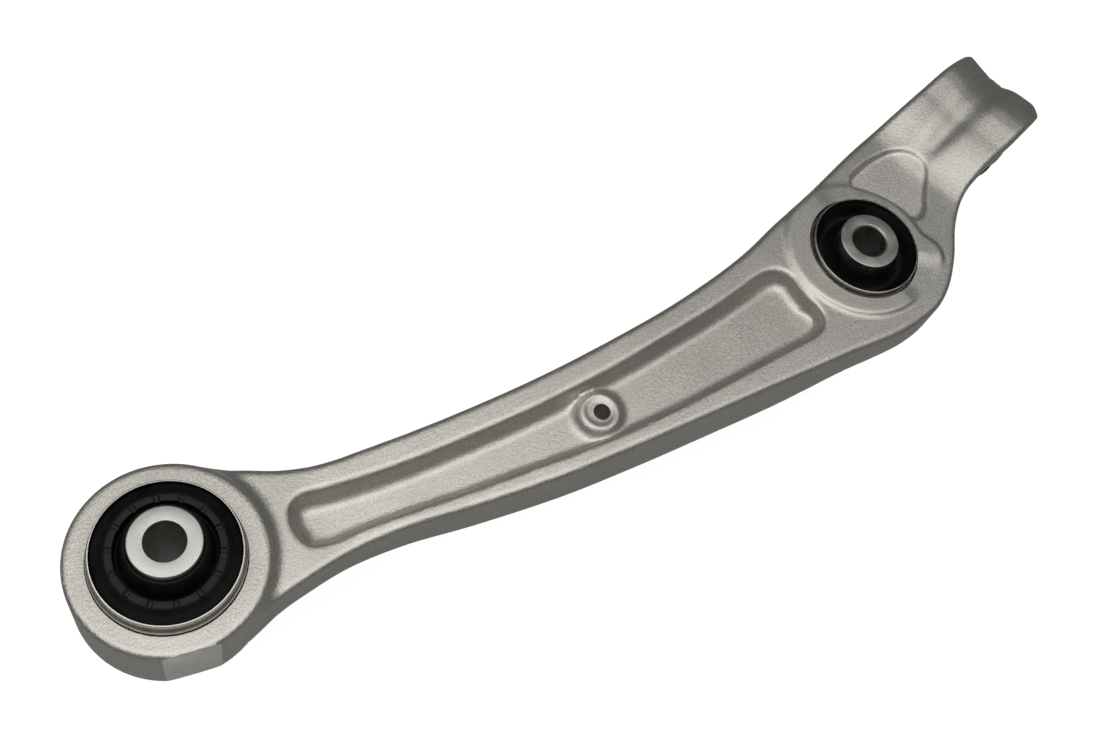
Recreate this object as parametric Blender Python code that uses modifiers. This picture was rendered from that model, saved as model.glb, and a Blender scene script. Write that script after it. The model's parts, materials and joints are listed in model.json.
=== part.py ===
"""Front lower control arm: a forged aluminium arm, two rubber bushes and a ball joint.

Frame: +X runs from the inner bush's axis to the strut bush's, +Z along both bush axes, and
the ball pin points to -Z. Sizes below are in millimetres from the inner bush's axis at the
forging's mid-plane, and are turned into metres where a mesh is made. An empty then carries
the whole part, so that the centre of its box lies at the world's origin.
"""
import math

import bmesh
import bpy
from mathutils import Matrix, Vector

MM = 0.001
GAP = 0.3            # left between neighbouring pieces
SEGMENTS = 40        # facets round a turned piece
MERGE = 0.00001      # metres
BOX_CENTRE = (167.25, 11.83, -16.55)

# Arm
BUSH_SPACING = 260.0
BODY_HALF = 14.0     # half thickness of the flanges between the two eyes
NECK_TOP = 7.0       # heights of the thinner neck next to the large eye
NECK_LOW = -10.0
UPPER_FLOOR = 8.0    # floors of the long pocket; the upper one slopes down over the neck
LOWER_FLOOR = -6.5
NECK_SLOPE = math.radians(4.1)
NECK_SLOPE_START = 130.0
TRIANGLE_DEPTH = 2.5
BOSS_HEIGHT = 2.5
BOSS_RADIUS = 7.5
BOSS_HOLE_RADIUS = 2.85
BOSS_PLACE = (142.4, -13.7)

# Eyes and bushes
EYE_RADIUS = 29.9
EYE_TOP = 11.0
EYE_LOW = -16.5
EYE_ROUND = 1.6
TRIM_DISTANCE = 28.6             # of the trimmed flat from the large eye's axis
TRIM_NORMAL = (-0.116, -0.993)
STRUT_EYE_RADIUS = 26.5
STRUT_EYE_HALF = 15.0
STRUT_LUG_PLACE = (279.5, -10.5)
STRUT_LUG_RADIUS = 8.5
SLEEVE_HALF = 17.0               # half length of the outer sleeves
BOLT_RADIUS = 6.1                # clearance for an M12 bolt
INNER_SLEEVE_RADIUS = 10.7
INNER_BUSH = {"bore": 21.65, "outside": 23.0, "half_length": 26.4, "place": (0.0, 0.0)}
STRUT_BUSH = {"bore": 18.8, "outside": 20.1, "half_length": 20.0, "place": (BUSH_SPACING, 0.0)}

# Ball joint, with heights from the ball's centre
BALL_CENTRE = (343.6, 36.9, 0.5)
BALL_RADIUS = 10.5
SEAT_RADIUS = 12.4
HOUSING_MOUTH = -7.0
HOUSING_RADIUS = 17.6
NECK_RADIUS = 6.0
TAPER_TOP_RADIUS = 8.6
TAPER_END_RADIUS = 7.3
THREAD_RADIUS = 6.0
STUD_END = -60.0
SOCKET_RADIUS = 3.5
BOOT_BEAD_RADIUS = 19.6

# Tip: the direction in which its top rises to a crest, and falls again
TIP_ANGLE = math.radians(22.2)
CREST_HEIGHT = 23.2

# Outline of the forging seen along +Z, from the large eye along the upper edge to the
# tip, and back along the lower edge. C marks a corner, S a smooth point.
OUTLINE = [
    (-5.0, 24.0, "C"), (12.0, 26.4, "S"), (20.6, 22.8, "S"), (31.3, 18.0, "S"), (41.2, 13.3, "S"),
    (51.1, 10.2, "S"), (70.9, 7.8, "S"), (100.8, 5.9, "S"), (130.4, 5.7, "S"), (150.1, 6.7, "S"),
    (190.0, 10.9, "S"), (219.9, 17.3, "S"), (235.0, 22.4, "S"), (249.9, 26.8, "S"),
    (284.8, 38.4, "S"), (315.1, 46.3, "S"), (346.5, 53.6, "C"), (351.0, 53.0, "S"),
    (360.0, 46.0, "S"), (363.6, 36.5, "S"), (362.8, 26.5, "S"), (357.5, 19.0, "C"),
    (340.1, 13.7, "S"), (324.9, 9.9, "S"), (312.0, 4.7, "S"), (301.1, -5.2, "S"),
    (291.6, -17.0, "S"), (281.5, -27.0, "S"), (275.0, -30.8, "S"), (262.0, -33.6, "S"),
    (230.0, -32.9, "S"), (200.0, -32.1, "S"), (150.1, -30.8, "S"), (120.5, -29.2, "S"),
    (90.9, -25.6, "S"), (65.9, -21.7, "S"), (48.9, -21.0, "S"), (30.8, -23.3, "S"),
    (10.0, -27.0, "S"), (-5.0, -24.0, "C"),
]

# The long pocket between the flanges, and the shallow one beyond the strut bush
POCKET = [
    (40.5, -1.6, "S"), (44.8, 0.0, "S"), (75.8, -2.9, "S"), (110.6, -5.5, "S"), (140.0, -5.2, "S"),
    (180.0, -1.6, "S"), (215.0, 3.8, "S"), (223.0, 2.5, "S"), (227.0, -8.0, "S"), (228.0, -17.0, "S"),
    (222.0, -19.6, "S"), (180.0, -22.4, "S"), (140.0, -22.1, "S"), (100.8, -18.3, "S"),
    (75.8, -14.9, "S"), (45.8, -12.5, "S"), (40.8, -11.0, "S"),
]
TRIANGLE = [
    (274.0, 25.0, "S"), (277.0, 26.5, "S"), (290.0, 29.5, "S"), (297.0, 28.5, "S"), (302.0, 21.5, "S"),
    (300.5, 17.0, "S"), (289.5, 5.5, "S"), (286.0, 5.5, "S"), (281.0, 16.5, "S"), (274.5, 21.5, "S"),
]

# Side profile of the forging along the tip's direction: distance, height
SIDE_TOP = [
    (-40.0, NECK_TOP), (40.0, NECK_TOP), (58.0, 8.6), (80.0, 10.6), (106.0, 12.6), (134.0, 13.7),
    (155.0, BODY_HALF), (280.0, BODY_HALF), (287.0, 14.9), (301.0, 19.0), (311.0, 21.1),
    (320.0, 22.9), (325.0, CREST_HEIGHT), (329.5, 22.6), (334.6, 21.2), (342.0, 18.5),
    (344.2, 15.4), (347.0, 10.6), (350.0, 6.2), (353.0, 4.2),
]
SIDE_BOTTOM = [
    (353.0, 1.5), (311.0, 1.5), (304.0, 0.5), (286.0, -2.5), (260.0, -4.5), (243.0, -3.5),
    (224.0, -1.5), (200.5, -5.0), (173.0, -11.5), (120.0, -11.0), (80.0, NECK_LOW),
    (-40.0, NECK_LOW),
]


def clear_scene():
    """Remove everything that a new file starts with."""
    for thing in list(bpy.data.objects):
        bpy.data.objects.remove(thing)


def new_collection(name):
    """Make a collection under the scene's own."""
    made = bpy.data.collections.new(name)
    bpy.context.scene.collection.children.link(made)
    return made


clear_scene()
PARTS = new_collection("control_arm")
CUTTERS = new_collection("cutters")


def material(name, colour, roughness, metallic):
    """Make a Principled material."""
    made = bpy.data.materials.new(name)
    made.use_nodes = True
    shader = made.node_tree.nodes["Principled BSDF"]
    shader.inputs["Base Color"].default_value = (*colour, 1.0)
    shader.inputs["Roughness"].default_value = roughness
    shader.inputs["Metallic"].default_value = metallic
    return made


FORGED = material("forged_aluminium", (0.50, 0.49, 0.46), 0.45, 1.0)
ZINC = material("zinc_plated_steel", (0.62, 0.61, 0.58), 0.35, 1.0)
STEEL = material("machined_steel", (0.66, 0.65, 0.62), 0.35, 1.0)
STUD_STEEL = material("stud_steel", (0.42, 0.42, 0.43), 0.30, 1.0)
RUBBER = material("black_rubber", (0.012, 0.012, 0.013), 0.60, 0.0)
SEAT_PLASTIC = material("acetal", (0.80, 0.79, 0.74), 0.40, 0.0)


def add_object(name, mesh, collection, finish=None):
    """Link a mesh as an object; a guide is hidden from renders."""
    made = bpy.data.objects.new(name, mesh)
    collection.objects.link(made)
    if finish is not None:
        mesh.materials.append(finish)
    if collection is CUTTERS:
        made.hide_render = True
        made.display_type = "WIRE"
    return made


def turned(name, profile, place, collection=PARTS, finish=None):
    """Turn a closed profile of (radius, height) about the Z axis at place.

    The profile runs down its outer side first. A point of radius 0 lies on the axis, and
    the profile then stays open between its first and last points.
    """
    mesh = bpy.data.meshes.new(name)
    form = bmesh.new()
    verts = [form.verts.new((radius * MM, 0.0, height * MM)) for radius, height in profile]
    for above, below in zip(verts, verts[1:]):
        form.edges.new((above, below))
    if profile[0][0] > 0.0:
        form.edges.new((verts[-1], verts[0]))
    form.to_mesh(mesh)
    form.free()
    made = add_object(name, mesh, collection, finish)
    made.location = Vector((place[0], place[1], place[2] if len(place) > 2 else 0.0)) * MM
    screw = made.modifiers.new("turn", "SCREW")
    screw.steps = SEGMENTS
    screw.render_steps = SEGMENTS
    screw.use_merge_vertices = True
    screw.merge_threshold = MERGE
    screw.use_smooth_shade = True
    return made


def rounded_corner(radius, height, size, turn):
    """Three points that round a turned piece's outer corner; turn is 1 at the top."""
    points = [
        (radius - size, height),
        (radius - 0.3 * size, height - turn * 0.3 * size),
        (radius, height - turn * size),
    ]
    return points if turn > 0 else points[::-1]


def disc(radius, low, high, edge):
    """Profile of a disc with rounded rims."""
    top = rounded_corner(radius, high, edge, 1)
    bottom = rounded_corner(radius, low, edge, -1)
    return [(0.0, high)] + top + bottom + [(0.0, low)]


def plain_disc(radius, low, high):
    """Profile of a cylinder."""
    return [(0.0, high), (radius, high), (radius, low), (0.0, low)]


def flat_solid(name, outline, low, high, resolution):
    """A solid with a smooth flat outline between two heights, as a guide."""
    curve = bpy.data.curves.new(name, "CURVE")
    curve.dimensions = "2D"
    curve.fill_mode = "BOTH"
    curve.resolution_u = resolution
    curve.extrude = 0.5 * (high - low) * MM
    spline = curve.splines.new("BEZIER")
    spline.bezier_points.add(len(outline) - 1)
    spline.use_cyclic_u = True
    for point, (x, y, kind) in zip(spline.bezier_points, outline):
        point.co = (x * MM, y * MM, 0.0)
        handle = "VECTOR" if kind == "C" else "AUTO"
        point.handle_left_type = handle
        point.handle_right_type = handle
    drawn = bpy.data.objects.new(name + "_curve", curve)
    drawn.location.z = 0.5 * (high + low) * MM
    return meshed(name, drawn)


def meshed(name, drawn):
    """Turn a curve object into a closed mesh guide, in place."""
    CUTTERS.objects.link(drawn)
    bpy.context.view_layer.update()
    evaluated = drawn.evaluated_get(bpy.context.evaluated_depsgraph_get())
    mesh = bpy.data.meshes.new_from_object(evaluated)
    form = bmesh.new()
    form.from_mesh(mesh)
    bmesh.ops.remove_doubles(form, verts=form.verts, dist=MERGE)
    bmesh.ops.recalc_face_normals(form, faces=form.faces)
    form.to_mesh(mesh)
    form.free()
    made = add_object(name, mesh, CUTTERS)
    made.matrix_world = drawn.matrix_world
    bpy.data.objects.remove(drawn)
    return made


def side_solid():
    """The side profile, drawn in the XY plane and stood up along the tip's direction."""
    curve = bpy.data.curves.new("side_profile", "CURVE")
    curve.dimensions = "2D"
    curve.fill_mode = "BOTH"
    curve.extrude = 0.16
    spline = curve.splines.new("POLY")
    outline = SIDE_TOP + SIDE_BOTTOM
    spline.points.add(len(outline) - 1)
    spline.use_cyclic_u = True
    for point, (along, height) in zip(spline.points, outline):
        point.co = (along * MM, height * MM, 0.0, 1.0)
    drawn = bpy.data.objects.new("side_profile_curve", curve)
    upright = Matrix.Rotation(math.radians(90.0), 4, "X")
    drawn.matrix_world = Matrix.Rotation(TIP_ANGLE, 4, "Z") @ upright
    return meshed("side_profile", drawn)


def combine(target, guide, operation):
    """Add a Boolean modifier."""
    step = target.modifiers.new(guide.name, "BOOLEAN")
    step.object = guide
    step.operation = operation
    step.solver = "MANIFOLD"


def trimmed_flat():
    """A box that trims the large eye's lower side flat."""
    mesh = bpy.data.meshes.new("trim_box")
    size = 20.0
    form = bmesh.new()
    bmesh.ops.create_cube(form, size=1.0)
    bmesh.ops.scale(form, vec=(4.0 * size * MM, size * MM, 3.0 * size * MM), verts=form.verts)
    form.to_mesh(mesh)
    form.free()
    box = add_object("trim_box", mesh, CUTTERS)
    normal = Vector((*TRIM_NORMAL, 0.0)).normalized()
    box.location = normal * (TRIM_DISTANCE + 0.5 * size) * MM
    box.rotation_euler.z = math.atan2(normal.y, normal.x) + 0.5 * math.pi
    return box


def make_arm():
    """The forging: outline and side profile crossed, eyes joined on, pockets and bores cut."""
    deep = 40.0
    arm = flat_solid("arm_forging", OUTLINE, -deep, deep, 4)
    CUTTERS.objects.unlink(arm)
    PARTS.objects.link(arm)
    arm.hide_render = False
    arm.display_type = "TEXTURED"
    arm.data.materials.append(FORGED)
    combine(arm, side_solid(), "INTERSECT")

    for side, low, high in (("upper", UPPER_FLOOR, deep), ("lower", -deep, LOWER_FLOOR)):
        combine(arm, flat_solid(side + "_pocket", POCKET, low, high, 3), "DIFFERENCE")
    combine(arm, neck_pocket(deep), "DIFFERENCE")
    shallow = BODY_HALF - TRIANGLE_DEPTH
    combine(arm, flat_solid("triangle_pocket", TRIANGLE, shallow, deep, 3), "DIFFERENCE")

    eye = disc(EYE_RADIUS, EYE_LOW, EYE_TOP, EYE_ROUND)
    combine(arm, turned("large_eye", eye, INNER_BUSH["place"], CUTTERS), "UNION")
    strut_eye = disc(STRUT_EYE_RADIUS, -STRUT_EYE_HALF, STRUT_EYE_HALF, 0.8)
    combine(arm, turned("strut_eye", strut_eye, STRUT_BUSH["place"], CUTTERS), "UNION")
    lug = disc(STRUT_LUG_RADIUS, 0.4 - STRUT_EYE_HALF, STRUT_EYE_HALF - 0.4, 0.8)
    combine(arm, turned("strut_lug", lug, STRUT_LUG_PLACE, CUTTERS), "UNION")

    boss_top = UPPER_FLOOR + BOSS_HEIGHT
    boss = disc(BOSS_RADIUS, -boss_top, boss_top, 1.0)
    combine(arm, turned("boss", boss, BOSS_PLACE, CUTTERS), "UNION")
    housing = plain_disc(HOUSING_RADIUS, HOUSING_MOUTH, 2.0)
    combine(arm, turned("housing", housing, BALL_CENTRE, CUTTERS), "UNION")

    hole = plain_disc(BOSS_HOLE_RADIUS, -deep, deep)
    combine(arm, turned("boss_hole", hole, BOSS_PLACE, CUTTERS), "DIFFERENCE")
    for name, bush in (("large_bore", INNER_BUSH), ("strut_bore", STRUT_BUSH)):
        bore = plain_disc(bush["outside"] + GAP, -deep, deep)
        combine(arm, turned(name, bore, bush["place"], CUTTERS), "DIFFERENCE")
    combine(arm, turned("housing_bore", housing_hollow(), BALL_CENTRE, CUTTERS), "DIFFERENCE")
    combine(arm, trimmed_flat(), "DIFFERENCE")
    return arm


def neck_pocket(high):
    """The long pocket again, tilted so that its floor follows the falling neck."""
    guide = flat_solid("neck_pocket", POCKET, 0.0, high, 3)
    pivot = Matrix.Translation(Vector((NECK_SLOPE_START, 0.0, UPPER_FLOOR)) * MM)
    tilt = Matrix.Rotation(-NECK_SLOPE, 4, "Y")
    back = Matrix.Translation(Vector((-NECK_SLOPE_START, 0.0, 0.0)) * MM)
    guide.matrix_world = pivot @ tilt @ back @ guide.matrix_world
    return guide


def housing_hollow():
    """Profile of the hollow that holds the seat; it opens past the housing's mouth."""
    wall = SEAT_RADIUS + GAP
    return [
        (0.0, 11.3), (6.6, 11.3), (10.2, 7.9), (wall, 3.5), (wall, HOUSING_MOUTH + 2.0),
        (wall + 1.6, HOUSING_MOUTH + 2.0), (wall + 1.6, HOUSING_MOUTH - 5.0), (0.0, HOUSING_MOUTH - 5.0),
    ]


def tube(outside, bore, half_length, chamfer, mouth, taper):
    """Profile of a sleeve: chamfer and taper shape its outer ends, mouth the bore's ends."""
    inner = mouth
    return [
        (outside - chamfer, half_length), (outside, half_length - taper),
        (outside, taper - half_length), (outside - chamfer, -half_length),
        (bore + inner, -half_length), (bore, inner - half_length),
        (bore, half_length - inner), (bore + inner, half_length),
    ]


def mirrored(upper):
    """A profile from its upper half, which runs from the bore's side to the outside."""
    lower = [(radius, -height) for radius, height in reversed(upper)]
    return upper + lower


def inner_bush_rubber_profile():
    """Collar round the inner sleeve, a groove, and a ridge that falls to the outer sleeve."""
    inside = INNER_SLEEVE_RADIUS + GAP
    outside = INNER_BUSH["bore"] - GAP
    return mirrored([
        (inside, 24.4), (inside + 1.2, 23.8), (12.7, 19.5), (13.6, 15.4), (14.8, 14.6),
        (16.0, 18.2), (17.4, 18.6), (19.4, 16.8), (outside, 15.6),
    ])


def strut_bush_rubber_profile():
    """Smooth groove between the two sleeves."""
    inside = INNER_SLEEVE_RADIUS + GAP
    outside = STRUT_BUSH["bore"] - GAP
    return mirrored([
        (inside, 17.2), (inside + 0.9, 15.8), (12.9, 12.0), (14.3, 10.4), (16.0, 10.8),
        (17.4, 13.0), (outside, 15.4),
    ])


def make_bush(prefix, bush, rubber, mouth):
    """Outer sleeve, rubber and inner sleeve of one bush."""
    place = bush["place"]
    outer = tube(bush["outside"], bush["bore"], SLEEVE_HALF, 0.9, 0.1, 2.4)
    turned(prefix + "_outer_sleeve", outer, place, finish=ZINC)
    turned(prefix + "_rubber", rubber, place, finish=RUBBER)
    inner = tube(INNER_SLEEVE_RADIUS, BOLT_RADIUS, bush["half_length"], 0.4, mouth, 0.4)
    turned(prefix + "_inner_sleeve", inner, place, finish=STEEL)


def ball_arc(radius, start, end, steps):
    """Points on a circle round the ball's centre, by height angle in degrees."""
    points = []
    for step in range(steps + 1):
        angle = math.radians(start + (end - start) * step / steps)
        points.append((radius * math.cos(angle), radius * math.sin(angle)))
    return points


def make_ball_stud():
    """Ball, neck, collar, taper and threaded end, with a hexagon socket in the end."""
    neck_angle = -math.degrees(math.acos(NECK_RADIUS / BALL_RADIUS))
    flat_angle = 70.0
    ball = ball_arc(BALL_RADIUS, flat_angle, neck_angle, 12)
    profile = [(0.0, ball[0][1])] + ball + [
        (NECK_RADIUS, -15.0), (NECK_RADIUS + 0.8, -19.0), (TAPER_TOP_RADIUS, -22.5),
        (TAPER_TOP_RADIUS, -25.0), (TAPER_END_RADIUS, -41.0), (5.1, -42.0), (5.1, -44.0),
        (THREAD_RADIUS, -45.0), (THREAD_RADIUS, STUD_END + 1.2), (4.9, STUD_END), (0.0, STUD_END),
    ]
    stud = turned("ball_stud", profile, BALL_CENTRE, finish=STUD_STEEL)
    socket = turned("hexagon_socket", plain_disc(SOCKET_RADIUS, STUD_END - 2.0, STUD_END + 5.0),
                    BALL_CENTRE, CUTTERS)
    socket.modifiers["turn"].steps = 6
    socket.modifiers["turn"].render_steps = 6
    combine(stud, socket, "DIFFERENCE")


def make_ball_seat():
    """Plastic shell round the ball, open at the pin's side and slotted at its top."""
    inside = ball_arc(BALL_RADIUS + GAP, -26.0, 60.0, 9)
    outside = [(5.6, 11.0), (6.4, 11.0), (9.8, 7.8), (SEAT_RADIUS, 3.4), (SEAT_RADIUS, -4.6)]
    turned("ball_seat", outside + inside, BALL_CENTRE, finish=SEAT_PLASTIC)


def make_closing_ring():
    """Steel ring in the housing's mouth; its bore is smaller than the ball."""
    outer = SEAT_RADIUS + 1.6
    top = HOUSING_MOUTH + 2.0 - GAP
    profile = [
        (outer, top), (outer, HOUSING_MOUTH + 0.3), (11.6, HOUSING_MOUTH + 0.3),
        (9.9, HOUSING_MOUTH + 0.8), (9.9, top),
    ]
    turned("closing_ring", profile, BALL_CENTRE, finish=ZINC)


def make_boot():
    """Rubber boot with its two rings: a bead on the housing, a bellows and a neck."""
    inside = HOUSING_RADIUS + GAP
    bead_top = -1.6
    bead_low = HOUSING_MOUTH - 1.6
    outer_side = [
        (BOOT_BEAD_RADIUS, bead_top), (BOOT_BEAD_RADIUS, bead_low), (20.2, -12.6), (18.4, -16.2),
        (14.6, -18.6), (10.6, -19.6), (9.9, -20.4), (9.9, -24.2),
    ]
    inner_side = [
        (TAPER_TOP_RADIUS + GAP, -24.2), (TAPER_TOP_RADIUS + GAP, -19.2), (13.8, -16.8),
        (17.0, -14.8), (18.3, -12.2), (16.7, bead_low + 0.6), (16.7, HOUSING_MOUTH - GAP),
        (inside, HOUSING_MOUTH - GAP), (inside, bead_top),
    ]
    turned("dust_boot", outer_side + inner_side, BALL_CENTRE, finish=RUBBER)

    clamp_in = BOOT_BEAD_RADIUS + GAP
    turned("boot_clamp_ring", ring_profile(clamp_in, 0.9, -5.6, -3.6), BALL_CENTRE, finish=ZINC)
    turned("boot_neck_ring", ring_profile(9.9 + GAP, 0.9, -23.4, -21.4), BALL_CENTRE, finish=ZINC)


def ring_profile(bore, wall, low, high):
    """Profile of a flat ring with slightly broken outer edges."""
    edge = 0.25
    return [
        (bore + wall - edge, high), (bore + wall, high - edge), (bore + wall, low + edge),
        (bore + wall - edge, low), (bore, low), (bore, high),
    ]


def carry_all():
    """Hang every object on one empty, which moves the part's box to the world's origin."""
    carrier = bpy.data.objects.new("carrier", None)
    carrier.location = Vector(BOX_CENTRE) * -MM
    PARTS.objects.link(carrier)
    for thing in bpy.data.objects:
        if thing is not carrier:
            thing.parent = carrier


make_arm()
make_bush("inner_bush", INNER_BUSH, inner_bush_rubber_profile(), 0.3)
make_bush("strut_bush", STRUT_BUSH, strut_bush_rubber_profile(), 0.7)
make_ball_stud()
make_ball_seat()
make_closing_ring()
make_boot()
carry_all()
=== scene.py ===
"""Looks of a forged aluminium control arm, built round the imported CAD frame.

Shapes are worked out in millimetres from the large bush's axis at the bushes' mid-plane,
which HOME gives in the frame of the CAD: +X runs to the strut bush, +Z along both bush axes.
The forging is a smooth field (negative inside) that is turned into a mesh, then its bores
are cut.
"""
import json
import math

import bmesh
import bpy
import numpy as np
from mathutils import Matrix, Vector


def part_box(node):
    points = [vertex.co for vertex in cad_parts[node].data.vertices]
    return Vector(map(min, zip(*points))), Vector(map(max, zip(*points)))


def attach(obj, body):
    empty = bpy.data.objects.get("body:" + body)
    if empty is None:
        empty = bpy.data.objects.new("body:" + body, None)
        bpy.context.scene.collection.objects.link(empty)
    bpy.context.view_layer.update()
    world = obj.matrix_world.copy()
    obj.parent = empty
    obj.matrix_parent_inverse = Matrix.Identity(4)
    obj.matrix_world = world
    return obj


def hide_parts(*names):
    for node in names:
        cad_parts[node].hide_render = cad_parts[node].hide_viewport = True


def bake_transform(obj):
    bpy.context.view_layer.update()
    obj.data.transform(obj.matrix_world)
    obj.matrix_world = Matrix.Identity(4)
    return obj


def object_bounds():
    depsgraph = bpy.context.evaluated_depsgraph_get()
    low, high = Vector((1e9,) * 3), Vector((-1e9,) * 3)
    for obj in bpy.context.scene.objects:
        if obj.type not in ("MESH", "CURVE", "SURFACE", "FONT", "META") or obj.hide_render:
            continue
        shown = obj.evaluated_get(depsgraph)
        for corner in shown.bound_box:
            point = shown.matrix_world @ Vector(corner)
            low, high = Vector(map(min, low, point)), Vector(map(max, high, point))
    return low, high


MM = 0.001

# ---------------------------------------------------------------- sizes of the forging
# Outline seen from above; C marks a corner and S a smooth point
OUTLINE = [
    (-5.0, 24.0, "C"), (12.0, 26.4, "S"), (20.6, 22.8, "S"), (31.3, 18.0, "S"), (41.2, 13.3, "S"),
    (51.1, 10.2, "S"), (70.9, 7.8, "S"), (100.8, 5.9, "S"), (130.4, 5.7, "S"), (150.1, 6.7, "S"),
    (190.0, 10.9, "S"), (219.9, 17.3, "S"), (235.0, 22.4, "S"), (249.9, 26.8, "S"),
    (284.8, 38.4, "S"), (315.1, 46.3, "S"), (345.0, 53.9, "S"), (351.6, 55.3, "C"), (353.8, 54.3, "S"),
    (360.0, 46.0, "S"), (363.6, 36.5, "S"), (362.8, 26.5, "S"), (357.7, 18.6, "C"),
    (340.3, 12.9, "S"), (325.0, 8.9, "S"), (312.3, 4.1, "S"), (301.1, -5.2, "S"),
    (291.6, -17.0, "S"), (281.2, -26.6, "S"), (274.8, -30.3, "S"), (262.0, -33.3, "S"),
    (230.0, -32.9, "S"), (200.0, -32.1, "S"), (150.1, -30.8, "S"), (120.5, -29.2, "S"),
    (90.9, -25.6, "S"), (65.9, -21.7, "S"), (48.9, -21.0, "S"), (30.8, -23.3, "S"),
    (10.0, -27.0, "S"), (-5.0, -24.0, "C"),
]
# Upper rim of the long pocket and of the shallow one beyond the strut bush
POCKET = [
    (37.3, -2.0, "S"), (38.9, 1.1, "S"), (41.9, 2.8, "S"), (50.9, 1.7, "S"), (60.9, 0.0, "S"),
    (80.8, -2.1, "S"), (100.8, -3.1, "S"), (120.5, -3.5, "S"), (140.3, -2.9, "S"),
    (160.1, -1.5, "S"), (175.0, 0.2, "S"), (190.0, 1.9, "S"), (210.0, 5.2, "S"), (217.0, 6.6, "S"),
    (221.5, 7.0, "S"), (226.0, 5.6, "S"), (228.8, 2.5, "S"), (229.8, -5.0, "S"), (230.8, -11.5, "S"),
    (231.0, -15.5, "S"), (229.0, -19.2, "S"), (225.0, -21.2, "S"), (218.0, -21.7, "S"),
    (200.0, -22.7, "S"), (180.0, -23.8, "S"), (150.1, -24.3, "S"), (130.4, -23.4, "S"),
    (110.7, -21.5, "S"), (90.8, -19.6, "S"), (70.8, -17.0, "S"), (55.9, -15.4, "S"),
    (42.9, -14.4, "S"), (39.2, -12.8, "S"), (37.5, -10.1, "S"),
]
TRIANGLE = [
    (271.5, 24.5, "S"), (273.2, 27.6, "S"), (279.0, 29.8, "S"), (288.5, 31.4, "S"),
    (295.4, 31.0, "S"), (300.4, 28.4, "S"), (303.5, 23.8, "S"), (304.0, 20.2, "S"),
    (302.2, 16.5, "S"), (297.0, 10.1, "S"), (292.3, 3.9, "S"), (288.6, 1.9, "S"),
    (286.0, 3.0, "S"), (284.2, 7.5, "S"), (281.2, 12.6, "S"), (276.6, 17.3, "S"), (272.4, 21.0, "S"),
]
SIDE_DRAFT = math.radians(1.0)
BODY_HALF = 14.0
EDGE_ROUND = 2.2
POCKET_DEPTH, LOWER_POCKET_DEPTH = 6.0, 4.0
POCKET_RIM_ROUND, POCKET_FLOOR_ROUND = 1.1, 2.0
UPPER_WALL, LOWER_WALL = math.radians(60.0), math.radians(77.0)   # pocket walls at its +Y and -Y side
TRIANGLE_DEPTH, TRIANGLE_TILT, TRIANGLE_MIDDLE = 2.1, 0.08, 276.0
TRIANGLE_WALL = math.radians(70.0)

# Height of the upper flanges over x, from the thin neck to the body
BODY_HEIGHTS = [
    (-40.0, 7.0), (30.0, 7.0), (44.0, 7.0), (65.0, 8.6), (90.0, 10.6), (120.0, 12.6), (150.0, 13.7),
    (170.0, BODY_HALF), (400.0, BODY_HALF),
]

# Tip: distance along its direction, height of its upper side
TIP_ANGLE = math.radians(22.2)
TIP_HEIGHTS = [
    (262.0, 14.0), (278.0, 14.0), (282.6, 14.1), (287.0, 14.8), (294.0, 16.8), (300.9, 18.9),
    (307.5, 20.4), (310.9, 20.9), (314.3, 21.6), (317.5, 22.3), (320.9, 22.9), (324.7, 23.1),
    (329.3, 22.5), (334.6, 21.05), (341.0, 18.7), (342.6, 17.7), (344.2, 15.0), (347.0, 10.2),
    (350.0, 5.8), (360.0, 4.0),
]
UNDERSIDE = [
    (-40.0, -10.0), (80.0, -10.0), (120.0, -11.0), (173.0, -11.5), (182.0, -10.6), (192.0, -8.3),
    (202.0, -5.4), (212.0, -3.0), (221.0, -2.1), (230.0, -3.6), (243.0, -4.4), (260.0, -4.5),
    (286.0, -2.5), (304.0, 0.5), (311.0, 1.5), (360.0, 1.5),
]
TIP_SHIFT = 1.6            # its heights come this much further out, except at its -Y edge
CAP_START, CAP_FULL = 294.0, 306.0     # the tip's end, by distance along its direction
CAP_EDGE = 5.0             # height of its side; below it the tip draws in to the housing
CAP_UNDERCUT = 0.8
VALLEY_START = (301.2, 21.8)
VALLEY_ANGLE = math.radians(18.0)
VALLEY_LENGTH = 46.0
VALLEY_DEPTH, VALLEY_END_DEPTH = 1.6, 1.1
VALLEY_WIDTH, VALLEY_END_WIDTH = 2.9, 4.6
VALLEY_LEAN = 1.5          # its +Y side is this many times as wide

# Eyes, housing and boss
EYE_RADIUS, EYE_TOP, EYE_LOW, EYE_ROUND = 29.9, 11.0, -16.5, 1.6
EYE_MIDDLE, EYE_HALF = 0.5 * (EYE_TOP + EYE_LOW), 0.5 * (EYE_TOP - EYE_LOW)
EYE_FILLET = 4.5
EYE_BORE, STRUT_BORE = 23.3, 20.4
STRUT_EYE_HALF = 15.0
# Circles (x, y, radius) round the strut bush: its plateau lies where the first two overlap
PLATEAU = ((-1.3, 1.0, 27.2), (-3.5, 0.0, 28.0))
LUG = (19.6, -11.1, 7.8)
LEDGE_RADIUS, LEDGE_HEIGHT = 29.7, 0.45
HOUSING_RADIUS, HOUSING_HIGH, HOUSING_LOW = 17.6, 9.0, -7.0
HOUSING_BORE = 12.7
BOSS_CENTRE, BOSS_RADIUS = (141.7, -13.3), 8.3
BOSS_HOLE_CENTRE, BOSS_HOLE = (142.4, -13.7, 0.0), 2.85
TRIM_DISTANCE = 28.7
TRIM_NORMAL = (-0.170, -0.985)

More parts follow.
